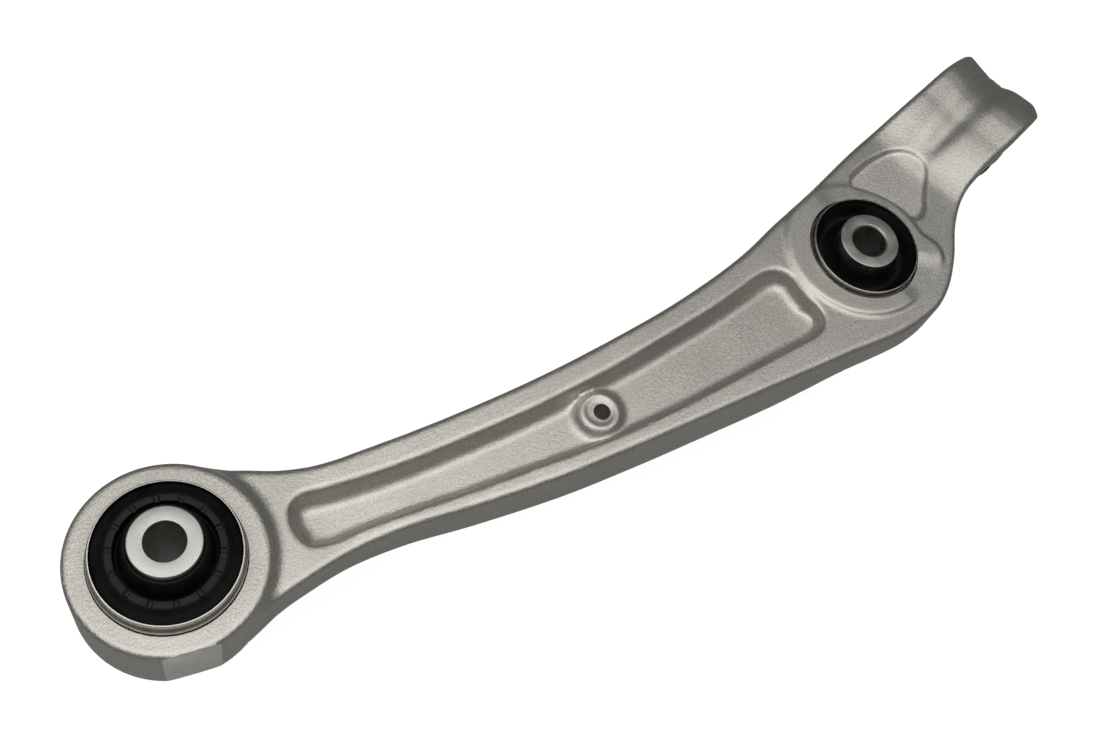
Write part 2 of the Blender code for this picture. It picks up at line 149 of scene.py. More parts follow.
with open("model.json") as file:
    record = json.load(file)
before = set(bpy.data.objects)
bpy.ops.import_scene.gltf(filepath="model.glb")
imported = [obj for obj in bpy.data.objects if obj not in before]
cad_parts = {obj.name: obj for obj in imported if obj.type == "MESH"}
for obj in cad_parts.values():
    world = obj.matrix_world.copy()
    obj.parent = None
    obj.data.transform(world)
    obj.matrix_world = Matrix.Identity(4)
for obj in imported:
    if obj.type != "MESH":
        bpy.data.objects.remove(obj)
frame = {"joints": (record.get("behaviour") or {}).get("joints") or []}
CAD_LOW, CAD_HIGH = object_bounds()


def middle(node):
    """Centre of a CAD node's box, in millimetres."""
    low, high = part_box(node)
    return (low + high) * 0.5 / MM


HOME = middle("inner_bush_inner_sleeve")
INNER_BUSH = Vector((0.0, 0.0, 0.0))
STRUT_BUSH = middle("strut_bush_inner_sleeve") - HOME
BALL = Vector(next(j["pos_m"] for j in frame["joints"] if j["name"] == "ball_spin")) / MM - HOME


# ---------------------------------------------------------------- flat outlines and fields
def smooth_path(points, steps=6):
    """Close a smooth curve through points (x, y, kind), which turns sharply only at kind C."""
    place = np.array([p[:2] for p in points], float)
    gap = np.roll(place, -1, 0) - place
    size = np.linalg.norm(gap, axis=1)
    slope = gap / size[:, None]
    before = np.roll(slope, 1, 0)
    size_before = np.roll(size, 1)
    mixed = (before * size[:, None] + slope * size_before[:, None]) / (size + size_before)[:, None]
    corner = np.array([p[2] == "C" for p in points])[:, None]
    leave = np.where(corner, slope, mixed)
    arrive = np.roll(np.where(corner, before, mixed), -1, 0)
    after = np.roll(place, -1, 0)
    t = (np.arange(steps) / steps)[None, :, None]
    leave = leave[:, None] * size[:, None, None]
    arrive = arrive[:, None] * size[:, None, None]
    path = ((2 * t ** 3 - 3 * t ** 2 + 1) * place[:, None] + (t ** 3 - 2 * t ** 2 + t) * leave
            + (3 * t ** 2 - 2 * t ** 3) * after[:, None] + (t ** 3 - t ** 2) * arrive)
    return path.reshape(-1, 2)


def flat_distance(x, y, path):
    """Signed distance in the plane to a closed path, negative inside."""
    best = np.full(x.shape, 1e12)
    inside = np.zeros(x.shape, bool)
    for (ax, ay), (bx, by) in zip(path, np.roll(path, -1, 0)):
        dx, dy = bx - ax, by - ay
        along = np.clip(((x - ax) * dx + (y - ay) * dy) / (dx * dx + dy * dy), 0.0, 1.0)
        best = np.minimum(best, (x - ax - along * dx) ** 2 + (y - ay - along * dy) ** 2)
        if ay != by:
            crosses = (ay > y) != (by > y)
            inside ^= crosses & (x < ax + (y - ay) * dx / dy)
    return np.where(inside, -1.0, 1.0) * np.sqrt(best)


def rounded_max(a, b, r):
    """Meet of two solids, with its outside edge rounded by r."""
    return np.minimum(-r, np.maximum(a, b)) + np.hypot(np.maximum(a + r, 0), np.maximum(b + r, 0))


def rounded_min(a, b, r):
    """Union of two solids, with its inside corner filled by r."""
    return np.maximum(r, np.minimum(a, b)) - np.hypot(np.maximum(r - a, 0), np.maximum(r - b, 0))


def fade(value, start, end):
    """0 at start to 1 at end, with no kink."""
    t = np.clip((value - start) / (end - start), 0.0, 1.0)
    return t * t * (3.0 - 2.0 * t)


def between(value, start, full, falling, end):
    """1 from full to falling, fading to 0 at start and end."""
    return fade(value, start, full) * (1.0 - fade(value, falling, end))


def circle(x, y, edge):
    """Distance outside a circle given as (x, y, radius)."""
    return np.hypot(x - edge[0], y - edge[1]) - edge[2]


def height_curve(points):
    """A smooth height over distance: the points' own curve, kept free of overshoot."""
    at = np.array([p[0] for p in points])
    height = np.array([p[1] for p in points])
    step = np.diff(height) / np.diff(at)
    grade = np.zeros(len(at))
    same = step[:-1] * step[1:] > 0
    grade[1:-1][same] = (2 * step[:-1] * step[1:] / (step[:-1] + step[1:] + 1e-12))[same]
    grade[0], grade[-1] = step[0], step[-1]

    def curve(s):
        s = np.clip(s, at[0], at[-1])
        i = np.clip(np.searchsorted(at, s) - 1, 0, len(at) - 2)
        h = at[i + 1] - at[i]
        t = (s - at[i]) / h
        return ((2 * t ** 3 - 3 * t ** 2 + 1) * height[i] + (t ** 3 - 2 * t ** 2 + t) * h * grade[i]
                + (3 * t ** 2 - 2 * t ** 3) * height[i + 1] + (t ** 3 - t ** 2) * h * grade[i + 1])
    return curve


TIP_TOP = height_curve(TIP_HEIGHTS)
UNDER = height_curve(UNDERSIDE)
BODY_TOP = height_curve(BODY_HEIGHTS)
PATHS = {"outline": smooth_path(OUTLINE), "pocket": smooth_path(POCKET, 4),
         "triangle": smooth_path(TRIANGLE, 4)}


def plan_of(x, y):
    """Everything about the forging that depends on its plan only."""
    plan = {name: flat_distance(x, y, path) for name, path in PATHS.items()}
    along = x * math.cos(TIP_ANGLE) + y * math.sin(TIP_ANGLE)
    beside = y * math.cos(TIP_ANGLE) - x * math.sin(TIP_ANGLE)
    on_tip = along > TIP_HEIGHTS[0][0]
    top = np.where(on_tip, TIP_TOP(along - TIP_SHIFT * fade(beside, -90.0, -81.0)), BODY_TOP(x))

    # valley down the tip, deeper and wider towards its end
    from_start = (x - VALLEY_START[0], y - VALLEY_START[1])
    c, s = math.cos(VALLEY_ANGLE), math.sin(VALLEY_ANGLE)
    down = from_start[0] * c + from_start[1] * s
    across = -from_start[0] * s + from_start[1] * c
    depth = VALLEY_DEPTH * fade(down, -3.0, 16.0) + VALLEY_END_DEPTH * fade(down, 26.0, VALLEY_LENGTH)
    width = VALLEY_WIDTH + (VALLEY_END_WIDTH - VALLEY_WIDTH) * fade(down, 5.0, VALLEY_LENGTH)
    width = width * np.where(across > 0.0, VALLEY_LEAN, 1.0)
    plan["top"] = top - depth * np.exp(-(across / width) ** 2)
    plan["under"] = UNDER(along)
    slope = (TIP_TOP(along + 0.5) - TIP_TOP(along - 0.5)) * on_tip
    plan["top_scale"] = 1.0 / np.sqrt(1.0 + slope ** 2)
    slope = UNDER(along + 0.5) - UNDER(along - 0.5)
    plan["under_scale"] = 1.0 / np.sqrt(1.0 + slope ** 2)

    plan["large"] = np.hypot(x - INNER_BUSH.x, y - INNER_BUSH.y)
    # plateau round the strut bush with its lug; it melts into the body where strut_top drops
    strut_x, strut_y = x - STRUT_BUSH.x, y - STRUT_BUSH.y
    ring = np.maximum(*(circle(strut_x, strut_y, edge) for edge in PLATEAU))
    plan["strut"] = rounded_min(ring, circle(strut_x, strut_y, LUG), 2.5)
    angle = np.degrees(np.arctan2(strut_y, strut_x)) % 360.0
    plan["strut_top"] = STRUT_EYE_HALF - between(angle, 276.0, 296.0, 316.0, 334.0)
    plan["strut_top"] -= 0.8 * between(angle, 28.0, 44.0, 84.0, 104.0)
    plan["ledge"] = np.hypot(strut_x, strut_y) - LEDGE_RADIUS
    plan["ledge_height"] = LEDGE_HEIGHT * between(angle, 95.0, 115.0, 185.0, 205.0)
    plan["boss"] = np.hypot(x - BOSS_CENTRE[0], y - BOSS_CENTRE[1])
    plan["ball"] = np.hypot(x - BALL.x, y - BALL.y)
    plan["along"] = along
    plan["wall_angle"] = UPPER_WALL + (LOWER_WALL - UPPER_WALL) * fade(-y, 8.0, 13.0)
    plan["cap"] = fade(along, CAP_START, CAP_FULL)
    return plan


def forging_field(plan, z):
    """Field of the whole forging without its bores."""
    level = np.abs(z)
    side = plan["outline"] * math.cos(SIDE_DRAFT) + level * math.sin(SIDE_DRAFT)
    below_cap = np.maximum(plan["top"] - CAP_EDGE - z, 0.0)
    side = side + CAP_UNDERCUT * plan["cap"] * below_cap
    ledge = plan["ledge_height"] * (1.0 - fade(plan["ledge"], -0.5, 0.5))
    upper = (z - plan["top"] - ledge) * plan["top_scale"]
    lower = (plan["under"] - z) * plan["under_scale"]
    body = rounded_max(side, rounded_max(upper, lower, EDGE_ROUND), EDGE_ROUND)

    from_ball = z - BALL.z
    housing = rounded_max(plan["ball"] - HOUSING_RADIUS,
                          np.maximum(from_ball - HOUSING_HIGH, HOUSING_LOW - from_ball), 0.6)
    body = rounded_min(body, housing, 2.0)

    # long pocket on both sides, with sloping walls
    rise, run = np.sin(plan["wall_angle"]), np.cos(plan["wall_angle"])
    wall = plan["pocket"] * rise + (plan["top"] - z) * run
    floor = plan["top"] - POCKET_DEPTH - z
    body = rounded_max(body, -rounded_max(wall, floor, POCKET_FLOOR_ROUND), POCKET_RIM_ROUND)
    wall = plan["pocket"] * rise + (z - plan["under"]) * run
    floor = z - plan["under"] - LOWER_POCKET_DEPTH
    body = rounded_max(body, -rounded_max(wall, floor, POCKET_FLOOR_ROUND), POCKET_RIM_ROUND)

    # boss, with a low ring round its seat
    ring_top = 9.8 + 0.5 * fade(plan["boss"], 4.0, 5.4) - 0.3 * fade(plan["boss"], 6.2, 7.4)
    boss = rounded_max((plan["boss"] - BOSS_RADIUS) * 0.87 + (level - 8.0) * 0.5, level - ring_top, 0.9)
    body = rounded_min(body, boss, 1.8)

    # shallow pocket beyond the strut bush
    wall = plan["triangle"] * math.sin(TRIANGLE_WALL) + (plan["top"] - z) * math.cos(TRIANGLE_WALL)
    rising = np.clip(TRIANGLE_TILT * (plan["along"] - TRIANGLE_MIDDLE), -1.1, 1.1)
    floor = (plan["top"] - TRIANGLE_DEPTH + rising - z) * plan["top_scale"]
    body = rounded_max(body, -rounded_max(wall, floor, 1.0), 0.6)

    # eyes
    strut = rounded_max(plan["strut"] + np.maximum(level - BODY_HALF, 0.0) * 0.6,
                        level - plan["strut_top"], 0.5)
    strut = rounded_max(strut, side, EDGE_ROUND)
    body = rounded_min(body, strut, 0.8)
    large = rounded_max(plan["large"] - EYE_RADIUS, np.abs(z - EYE_MIDDLE) - EYE_HALF, EYE_ROUND)
    return rounded_min(body, large, EYE_FILLET)


# ---------------------------------------------------------------- field to mesh
CORNERS = [(i, j, k) for i in (0, 1) for j in (0, 1) for k in (0, 1)]
EDGES = [(a, b) for a in range(8) for b in range(a + 1, 8)
         if sum(abs(p - q) for p, q in zip(CORNERS[a], CORNERS[b])) == 1]


def surface_net(values, origin, step):
    """Quads round the zero level of a grid of values: one point in each cell that it crosses."""
    inside = values < 0.0
    cells = tuple(n - 1 for n in values.shape)
    count = np.zeros(cells, np.int8)
    for i, j, k in CORNERS:
        count += inside[i:i + cells[0], j:j + cells[1], k:k + cells[2]]
    cell = np.argwhere((count > 0) & (count < 8))
    at_corner = [values[tuple((cell + corner).T)] for corner in CORNERS]
    total = np.zeros((len(cell), 3))
    hits = np.zeros(len(cell))
    for a, b in EDGES:
        crosses = (at_corner[a] < 0) != (at_corner[b] < 0)
        share = np.where(crosses, at_corner[a] / (at_corner[a] - at_corner[b] + 1e-20), 0.0)
        start = np.array(CORNERS[a], float)
        point = start + share[:, None] * (np.array(CORNERS[b], float) - start)
        total += np.where(crosses[:, None], point, 0.0)
        hits += crosses
    points = (cell + total / hits[:, None]) * step + origin

    number = np.full(cells, -1, np.int64)
    number[tuple(cell.T)] = np.arange(len(cell))
    quads = []
    for axis in range(3):
        u, v = (axis + 1) % 3, (axis + 2) % 3
        low = [slice(None)] * 3
        high = [slice(None)] * 3
        low[axis], high[axis] = slice(0, -1), slice(1, None)
        edge = np.argwhere(inside[tuple(low)] != inside[tuple(high)])
        ok = (edge[:, u] > 0) & (edge[:, v] > 0) & (edge[:, u] < cells[u]) & (edge[:, v] < cells[v])
        edge = edge[ok]
        ring = []
        for du, dv in ((-1, -1), (0, -1), (0, 0), (-1, 0)):
            place = edge.copy()
            place[:, u] += du
            place[:, v] += dv
            ring.append(number[tuple(place.T)])
        quad = np.stack(ring, 1)
        starts_inside = inside[tuple(edge.T)]
        quad[~starts_inside] = quad[~starts_inside][:, ::-1]
        quads.append(quad)
    return points, np.concatenate(quads)


def settle(points):
    """Move points onto the field's zero level along its gradient, in three rounds."""
    small = 0.02
    for _ in range(3):
        x, y, z = points.T
        plan = plan_of(x, y)
        here = forging_field(plan, z)
        rise = np.stack([
            forging_field(plan_of(x + small, y), z) - here,
            forging_field(plan_of(x, y + small), z) - here,
            forging_field(plan, z + small) - here,
        ], 1) / small
        move = rise * (here / np.maximum((rise ** 2).sum(1), 0.2))[:, None]
        size = np.linalg.norm(move, axis=1, keepdims=True)
        points = points - move * np.minimum(1.0, 0.4 / np.maximum(size, 1e-9))
    return points


def mesh_object(name, points, faces, finish, smooth_angle=35.0):
    """An object from points in millimetres and faces, shaded smooth up to an angle."""
    mesh = bpy.data.meshes.new(name)
    points = (np.asarray(points, float) + np.array(HOME)) * MM
    faces = np.asarray(faces)
    mesh.vertices.add(len(points))
    mesh.vertices.foreach_set("co", points.astype(np.float32).ravel())
    corners = faces.shape[1]
    mesh.loops.add(faces.size)
    mesh.loops.foreach_set("vertex_index", faces.astype(np.int32).ravel())
    mesh.polygons.add(len(faces))
    mesh.polygons.foreach_set("loop_start", np.arange(0, faces.size, corners, dtype=np.int32))
    mesh.update(calc_edges=True)
    mesh.validate()
    mesh.polygons.foreach_set("use_smooth", [True] * len(mesh.polygons))
    mesh.set_sharp_from_angle(angle=math.radians(smooth_angle))
    mesh.materials.append(finish)
    made = bpy.data.objects.new(name, mesh)
    bpy.context.scene.collection.objects.link(made)
    return made


# ---------------------------------------------------------------- turned pieces
def rounded_profile(points, steps=5):
    """Turn (radius, height, rounding) points of a closed profile into plain points with arcs."""
    made = []
    count = len(points)
    for i, (r, h, size) in enumerate(points):
        if size <= 0.0:
            made.append((r, h))
            continue
        here = Vector((r, h))
        back = Vector(points[i - 1][:2]) - here
        ahead = Vector(points[(i + 1) % count][:2]) - here
        cut = min(size, 0.49 * back.length, 0.49 * ahead.length)
        start, end = here + back.normalized() * cut, here + ahead.normalized() * cut
        for step in range(steps + 1):
            t = step / steps
            made.append(tuple(start * (1 - t) ** 2 + here * 2 * t * (1 - t) + end * t ** 2))
    return made


def turned(name, profile, centre, finish, segments=160, shape=None, smooth_angle=35.0):
    """Turn a profile of (radius, height) about Z; shape may change the rings' points.

    A profile that starts and ends on the axis gives a solid with poles; any other closes
    on itself.
    """
    profile = np.array(profile, float)
    solid = profile[0, 0] == 0.0 and profile[-1, 0] == 0.0
    angle = np.arange(segments) * 2 * math.pi / segments
    radius = np.repeat(profile[:, :1], segments, 1)
    height = np.repeat(profile[:, 1:], segments, 1)
    turn = np.repeat(angle[None], len(profile), 0)
    if shape is not None:
        radius, height = shape(radius, height, turn)
    points = np.stack([centre[0] + radius * np.cos(turn), centre[1] + radius * np.sin(turn),
                       centre[2] + height], -1).reshape(-1, 3)
    rows = len(profile)
    row, column = np.meshgrid(np.arange(rows - solid), np.arange(segments), indexing="ij")
    next_row, next_column = (row + 1) % rows, (column + 1) % segments
    faces = np.stack([row * segments + column, next_row * segments + column,
                      next_row * segments + next_column, row * segments + next_column], -1)
    made = mesh_object(name, points, faces.reshape(-1, 4), finish, smooth_angle)
    form = bmesh.new()
    form.from_mesh(made.data)
    if solid:
        poles = [v for v in form.verts if v.index < segments or v.index >= (rows - 1) * segments]
        bmesh.ops.remove_doubles(form, verts=poles, dist=1e-6)
    bmesh.ops.recalc_face_normals(form, faces=form.faces)
    form.to_mesh(made.data)
    form.free()
    return made


def cut(target, cutters):
    """Cut closed solids out of a mesh and remove them."""
    for guide in cutters:
        step = target.modifiers.new(guide.name, "BOOLEAN")
        step.operation = "DIFFERENCE"
        step.solver = "MANIFOLD"
        step.object = guide
    graph = bpy.context.evaluated_depsgraph_get()
    mesh = bpy.data.meshes.new_from_object(target.evaluated_get(graph), depsgraph=graph)
    target.modifiers.clear()
    target.data = mesh
    for guide in cutters:
        bpy.data.objects.remove(guide)


# ---------------------------------------------------------------- materials
class Finish:
    """A Principled material with a few helpers for its nodes."""

    def __init__(self, name, colour, roughness, metallic):
        self.material = bpy.data.materials.new(name)
        self.material.use_nodes = True
        self.nodes = self.material.node_tree.nodes
        self.links = self.material.node_tree.links
        self.shader = self.nodes["Principled BSDF"]
        self.shader.inputs["Base Color"].default_value = (*colour, 1.0)
        self.shader.inputs["Roughness"].default_value = roughness
        self.shader.inputs["Metallic"].default_value = metallic
        self.place = self.nodes.new("ShaderNodeTexCoord").outputs["Object"]

    def noise(self, size_mm, detail=2.0, rough=0.5, stretch=None):
        """Noise whose features are about size_mm across."""
        node = self.nodes.new("ShaderNodeTexNoise")
        node.inputs["Scale"].default_value = 1.0 / (size_mm * MM)
        node.inputs["Detail"].default_value = detail
        node.inputs["Roughness"].default_value = rough
        place = self.place
        if stretch is not None:
            mapping = self.nodes.new("ShaderNodeMapping")
            mapping.inputs["Scale"].default_value = stretch
            self.links.new(place, mapping.inputs["Vector"])
            place = mapping.outputs["Vector"]
        self.links.new(place, node.inputs["Vector"])
        return node.outputs["Fac"]

    def spread(self, value, low, high, start=0.3, end=0.7):
        """Map a value's start to end onto low to high."""
        node = self.nodes.new("ShaderNodeMapRange")
        node.inputs["From Min"].default_value = start
        node.inputs["From Max"].default_value = end
        node.inputs["To Min"].default_value = low
        node.inputs["To Max"].default_value = high
        self.links.new(value, node.inputs["Value"])
        return node.outputs["Result"]

    def combine(self, a, b, operation="MULTIPLY"):
        """Join two values, or a value and a number."""
        node = self.nodes.new("ShaderNodeMath")
        node.operation = operation
        for socket, value in zip(node.inputs, (a, b)):
            if isinstance(value, (int, float)):
                socket.default_value = value
            else:
                self.links.new(value, socket)
        return node.outputs["Value"]

    def tint(self, value, dark, light):
        """Colour between dark and light, by a value from 0 to 1."""
        node = self.nodes.new("ShaderNodeMix")
        node.data_type = "RGBA"
        self.links.new(value, node.inputs["Factor"])
        node.inputs["A"].default_value = (*dark, 1.0)
        node.inputs["B"].default_value = (*light, 1.0)
        self.links.new(node.outputs["Result"], self.shader.inputs["Base Color"])

    def around(self, centre):
        """Place relative to a vertical axis, given by its x and y in millimetres from HOME."""
        node = self.nodes.new("ShaderNodeVectorMath")
        node.operation = "SUBTRACT"
        node.inputs[1].default_value = ((HOME.x + centre[0]) * MM, (HOME.y + centre[1]) * MM, 0.0)
        self.links.new(self.place, node.inputs[0])
        return node.outputs["Vector"]

    def distance_from(self, centre):
        """Distance from a vertical axis."""
        flat = self.nodes.new("ShaderNodeVectorMath")
        flat.operation = "MULTIPLY"
        flat.inputs[1].default_value = (1.0, 1.0, 0.0)
        self.links.new(self.around(centre), flat.inputs[0])
        size = self.nodes.new("ShaderNodeVectorMath")
        size.operation = "LENGTH"
        self.links.new(flat.outputs["Vector"], size.inputs[0])
        return size.outputs["Value"]

    def roughness(self, value):
        """Roughness from a value."""
        self.links.new(value, self.shader.inputs["Roughness"])

    def bump(self, value, depth_mm, strength=1.0):
        """Relief from a value; depth_mm is its height."""
        node = self.nodes.new("ShaderNodeBump")
        node.inputs["Strength"].default_value = strength
        node.inputs["Distance"].default_value = depth_mm * MM
        self.links.new(value, node.inputs["Height"])
        self.links.new(node.outputs["Normal"], self.shader.inputs["Normal"])


def blasted_aluminium():
    """Shot-blasted forging skin: fine grain, faint cloudiness."""
    made = Finish("blasted_aluminium", (0.55, 0.53, 0.48), 0.42, 1.0)
    grain = made.noise(0.42, 3.0, 0.6)
    dents = made.noise(1.1, 2.0, 0.5)
    cloud = made.noise(16.0, 3.0, 0.55)
    mixed = made.combine(made.spread(grain, 0.0, 0.8, 0.36, 0.64), made.spread(cloud, 0.0, 0.2), "ADD")
    made.tint(mixed, (0.42, 0.408, 0.374), (0.72, 0.704, 0.652))
    made.roughness(made.spread(grain, 0.36, 0.52))
    made.bump(made.combine(grain, made.combine(dents, 0.9), "ADD"), 0.09, 1.0)
    return made.material


def machined_aluminium():
    """Bores, with fine tool marks."""
    made = Finish("machined_aluminium", (0.6, 0.59, 0.56), 0.36, 1.0)
    marks = made.noise(0.5, 2.0, 0.5, (1.0, 1.0, 0.12))
    made.tint(made.spread(marks, 0.0, 1.0), (0.66, 0.64, 0.59), (0.82, 0.80, 0.75))
    made.roughness(made.spread(marks, 0.30, 0.46))
    made.bump(marks, 0.03, 0.5)
    return made.material


def milled_aluminium():
    """The trimmed flat: a matt face, paler than the skin round it."""
    made = Finish("milled_aluminium", (0.8, 0.79, 0.75), 0.5, 0.15)
    marks = made.noise(0.7, 3.0, 0.6, (0.2, 1.0, 1.0))
    made.tint(made.spread(marks, 0.0, 1.0), (0.72, 0.705, 0.66), (0.92, 0.905, 0.86))
    made.roughness(made.spread(marks, 0.40, 0.58))
    made.bump(marks, 0.04, 0.6)
    return made.material


WAVE_LINES = 6.0           # light and dark lines in one unit of the wave texture, nearly


def steel(name, dark, light, rough, line_mm=0.35, centre=(0.0, 0.0)):
    """Turned steel: rings round its own axis, each line about line_mm wide, and a cloudy plating."""
    made = Finish(name, light, rough, 1.0)
    wave = made.nodes.new("ShaderNodeTexWave")
    wave.wave_type = "RINGS"
    wave.rings_direction = "Z"
    wave.inputs["Scale"].default_value = 1.0 / (line_mm * MM * WAVE_LINES)
    wave.inputs["Distortion"].default_value = 1.2
    wave.inputs["Detail"].default_value = 2.0
    made.links.new(made.around(centre), wave.inputs["Vector"])
    grain = made.noise(0.35, 3.0, 0.6)
    cloud = made.noise(5.0, 3.0, 0.6)
    mixed = made.combine(made.combine(grain, 0.6), made.combine(cloud, 0.4), "ADD")
    made.tint(made.spread(mixed, 0.0, 1.0, 0.35, 0.65), dark, light)
    made.roughness(made.spread(cloud, rough - 0.06, rough + 0.10))
    made.bump(made.combine(wave.outputs["Fac"], grain, "ADD"), 0.012, 0.5)
    return made.material


def rubber(name="black_rubber", painted_sheen_radii=None):
    """Moulded rubber: nearly black, with a cloudy bloom and fine pitting.

    The optional pair of radii round the large bush marks a band where the skin is painted greyer: a
    painted sheen on the moulded pads' faces.
    """
    made = Finish(name, (0.012, 0.012, 0.013), 0.55, 0.0)
    pits = made.noise(0.6, 3.0, 0.6)
    bloom = made.spread(made.noise(9.0, 4.0, 0.6), 0.0, 1.0, 0.35, 0.75)
    mixed = made.combine(bloom, 0.3)
    # painted sheen: the pads' faces are painted lighter between the two radii
    if painted_sheen_radii is not None:
        inner, outer = painted_sheen_radii
        away = made.distance_from(INNER_BUSH)
        band = made.combine(made.spread(away, 0.0, 1.0, inner * MM, (inner + 0.3) * MM),
                            made.spread(away, 1.0, 0.0, (outer - 0.3) * MM, outer * MM))
        mixed = made.combine(mixed, made.combine(band, 0.7), "ADD")
    made.tint(mixed, (0.003, 0.003, 0.0032), (0.026, 0.026, 0.026))
    made.roughness(made.spread(bloom, 0.42, 0.66, 0.0, 1.0))
    made.bump(pits, 0.04, 0.5)
    made.shader.inputs["Specular IOR Level"].default_value = 0.16
    return made.material


def acetal():
    """Natural acetal of the ball's seat."""
    made = Finish("natural_acetal", (0.8, 0.79, 0.74), 0.4, 0.0)
    cloud = made.noise(3.0, 2.0, 0.5)
    made.tint(cloud, (0.72, 0.70, 0.64), (0.84, 0.83, 0.78))
    made.roughness(made.spread(cloud, 0.34, 0.46))
    made.bump(made.noise(0.5, 2.0, 0.5), 0.01, 0.4)
    return made.material


BLASTED = blasted_aluminium()
MACHINED = machined_aluminium()
MILLED = milled_aluminium()
RUBBER = rubber()
# the pads' faces get a painted sheen, a lighter band between these radii
PAD_RUBBER = rubber("pad_rubber", (15.0, 17.3))
BOOT_RUBBER = rubber("boot_rubber")
ZINC = steel("zinc_plate", (0.36, 0.35, 0.325), (0.62, 0.605, 0.565), 0.26)
STRUT_ZINC = steel("zinc_plate_strut", (0.36, 0.35, 0.325), (0.62, 0.605, 0.565), 0.26,
                   centre=STRUT_BUSH)
SLEEVE_STEEL = steel("sleeve_steel", (0.42, 0.415, 0.395), (0.62, 0.612, 0.585), 0.38)
STRUT_SLEEVE_STEEL = steel("sleeve_steel_strut", (0.32, 0.315, 0.30), (0.58, 0.57, 0.545), 0.36,
                           centre=STRUT_BUSH)
STUD_STEEL = steel("stud_steel", (0.30, 0.30, 0.31), (0.48, 0.48, 0.49), 0.26, 0.4, centre=BALL)
RING_STEEL = steel("ring_steel", (0.55, 0.54, 0.50), (0.82, 0.80, 0.76), 0.24, centre=BALL)
ACETAL = acetal()


def place_piece(made, node, body):
    """Let a piece stand for a CAD node."""
    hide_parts(node)
    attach(made, body)


# ---------------------------------------------------------------- forging
def bore_cutter(name, radius, depth, centre, chamfer=0.0):
    """Cutter for a bore from minus to plus depth; its mouths flare at 45 degrees, chamfer deep."""
    past = 12.0
    wide = radius + chamfer + past
    profile = [(0.0, depth + past), (wide, depth + past), (radius, depth - chamfer),
               (radius, chamfer - depth), (wide, -depth - past), (0.0, -depth - past)]
    return turned(name, profile, centre, MACHINED, 224)


def housing_cutter():
    """Hollow of the ball joint's housing, open at the pin's side."""
    mouth = HOUSING_BORE + 1.6
    seat, below = HOUSING_LOW + 2.0, HOUSING_LOW - 5.0
    profile = [(0.0, 11.3), (6.6, 11.3), (10.2, 7.9), (HOUSING_BORE, 3.5), (HOUSING_BORE, seat),
               (mouth, seat), (mouth, below), (0.0, below)]
    return turned("housing_cutter", profile, BALL, MACHINED, 160)


def trim_cutter():
    """Box that trims the large eye's lower side flat."""
    mesh = bpy.data.meshes.new("trim_cutter")
    form = bmesh.new()
    bmesh.ops.create_cube(form, size=1.0)
    bmesh.ops.scale(form, vec=(0.08, 0.02, 0.06), verts=form.verts)
    form.to_mesh(mesh)
    form.free()
    mesh.materials.append(MILLED)
    box = bpy.data.objects.new("trim_cutter", mesh)
    bpy.context.scene.collection.objects.link(box)
    normal = Vector((*TRIM_NORMAL, 0.0)).normalized()
    box.location = HOME * MM + normal * (TRIM_DISTANCE * MM + 0.01)
    box.rotation_euler.z = math.atan2(normal.y, normal.x) + 0.5 * math.pi
    return box


def make_forging():
    """The forging's skin from its field, with its machined features cut."""
    step = 0.9
    low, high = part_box("arm_forging")
    low, high = low / MM - HOME, high / MM - HOME
    axes = [np.arange(low[i] - 3.0, high[i] + 3.0, step) for i in range(3)]
    x, y = np.meshgrid(axes[0], axes[1], indexing="ij")
    plan = {name: value[:, :, None] for name, value in plan_of(x, y).items()}
    values = forging_field(plan, axes[2][None, None, :])
    points, quads = surface_net(values, np.array([a[0] for a in axes]), step)
    arm = mesh_object("arm_forging_skin", settle(points), quads, BLASTED)

    eye_middle = (INNER_BUSH.x, INNER_BUSH.y, EYE_MIDDLE)
    past_face = 1.0
    cut(arm, [
        bore_cutter("large_bore", EYE_BORE, EYE_HALF + past_face, eye_middle),
        bore_cutter("strut_bore", STRUT_BORE, STRUT_EYE_HALF + past_face, STRUT_BUSH),
        bore_cutter("boss_hole", BOSS_HOLE, 10.0, BOSS_HOLE_CENTRE, 0.15),
        housing_cutter(), trim_cutter(),
    ])
    finish_forging(arm.data)
    place_piece(arm, "arm_forging", "arm")


def finish_forging(mesh):
    """Shade the cut forging, and give its bores and its trimmed flat their own finishes."""
    mesh.polygons.foreach_set("use_smooth", [True] * len(mesh.polygons))
    mesh.set_sharp_from_angle(angle=math.radians(32.0))
    centre = np.zeros(len(mesh.polygons) * 3)
    mesh.polygons.foreach_get("center", centre)
    centre = centre.reshape(-1, 3) / MM - np.array(HOME)
    x, y = centre[:, 0], centre[:, 1]
    in_bore = circle(x, y, (INNER_BUSH.x, INNER_BUSH.y, EYE_BORE + 0.04)) < 0.0
    in_bore |= circle(x, y, (STRUT_BUSH.x, STRUT_BUSH.y, STRUT_BORE + 0.04)) < 0.0
    flat = x * TRIM_NORMAL[0] + y * TRIM_NORMAL[1] > TRIM_DISTANCE - 0.05
    flat &= circle(x, y, (INNER_BUSH.x, INNER_BUSH.y, EYE_RADIUS + 2.1)) < 0.0
    finishes = [BLASTED, MACHINED, MILLED]
    index = np.where(in_bore, finishes.index(MACHINED), finishes.index(BLASTED))
    index[flat] = finishes.index(MILLED)
    mesh.materials.clear()
    for finish in finishes:
        mesh.materials.append(finish)
    mesh.polygons.foreach_set("material_index", index.astype(np.int32))


# ---------------------------------------------------------------- bushes
SLEEVE_RADIUS, SLEEVE_BORE = 10.7, 6.1
INNER_SLEEVE_HALF, STRUT_SLEEVE_HALF = 26.4, 20.0
RIM_HALF, RIM_GAP = 17.0, 0.3          # the gap is left to the forging's bore
INNER_RIM_BORE, STRUT_RIM_BORE = 21.65, 18.8
PAD_COUNT, PAD_DEPTH = 14, 0.8         # pads moulded on the large bush's ridge, and the depth between
PAD_RADII = (14.5, 15.1, 16.9, 17.7)   # their inner and outer edges, with how each fades


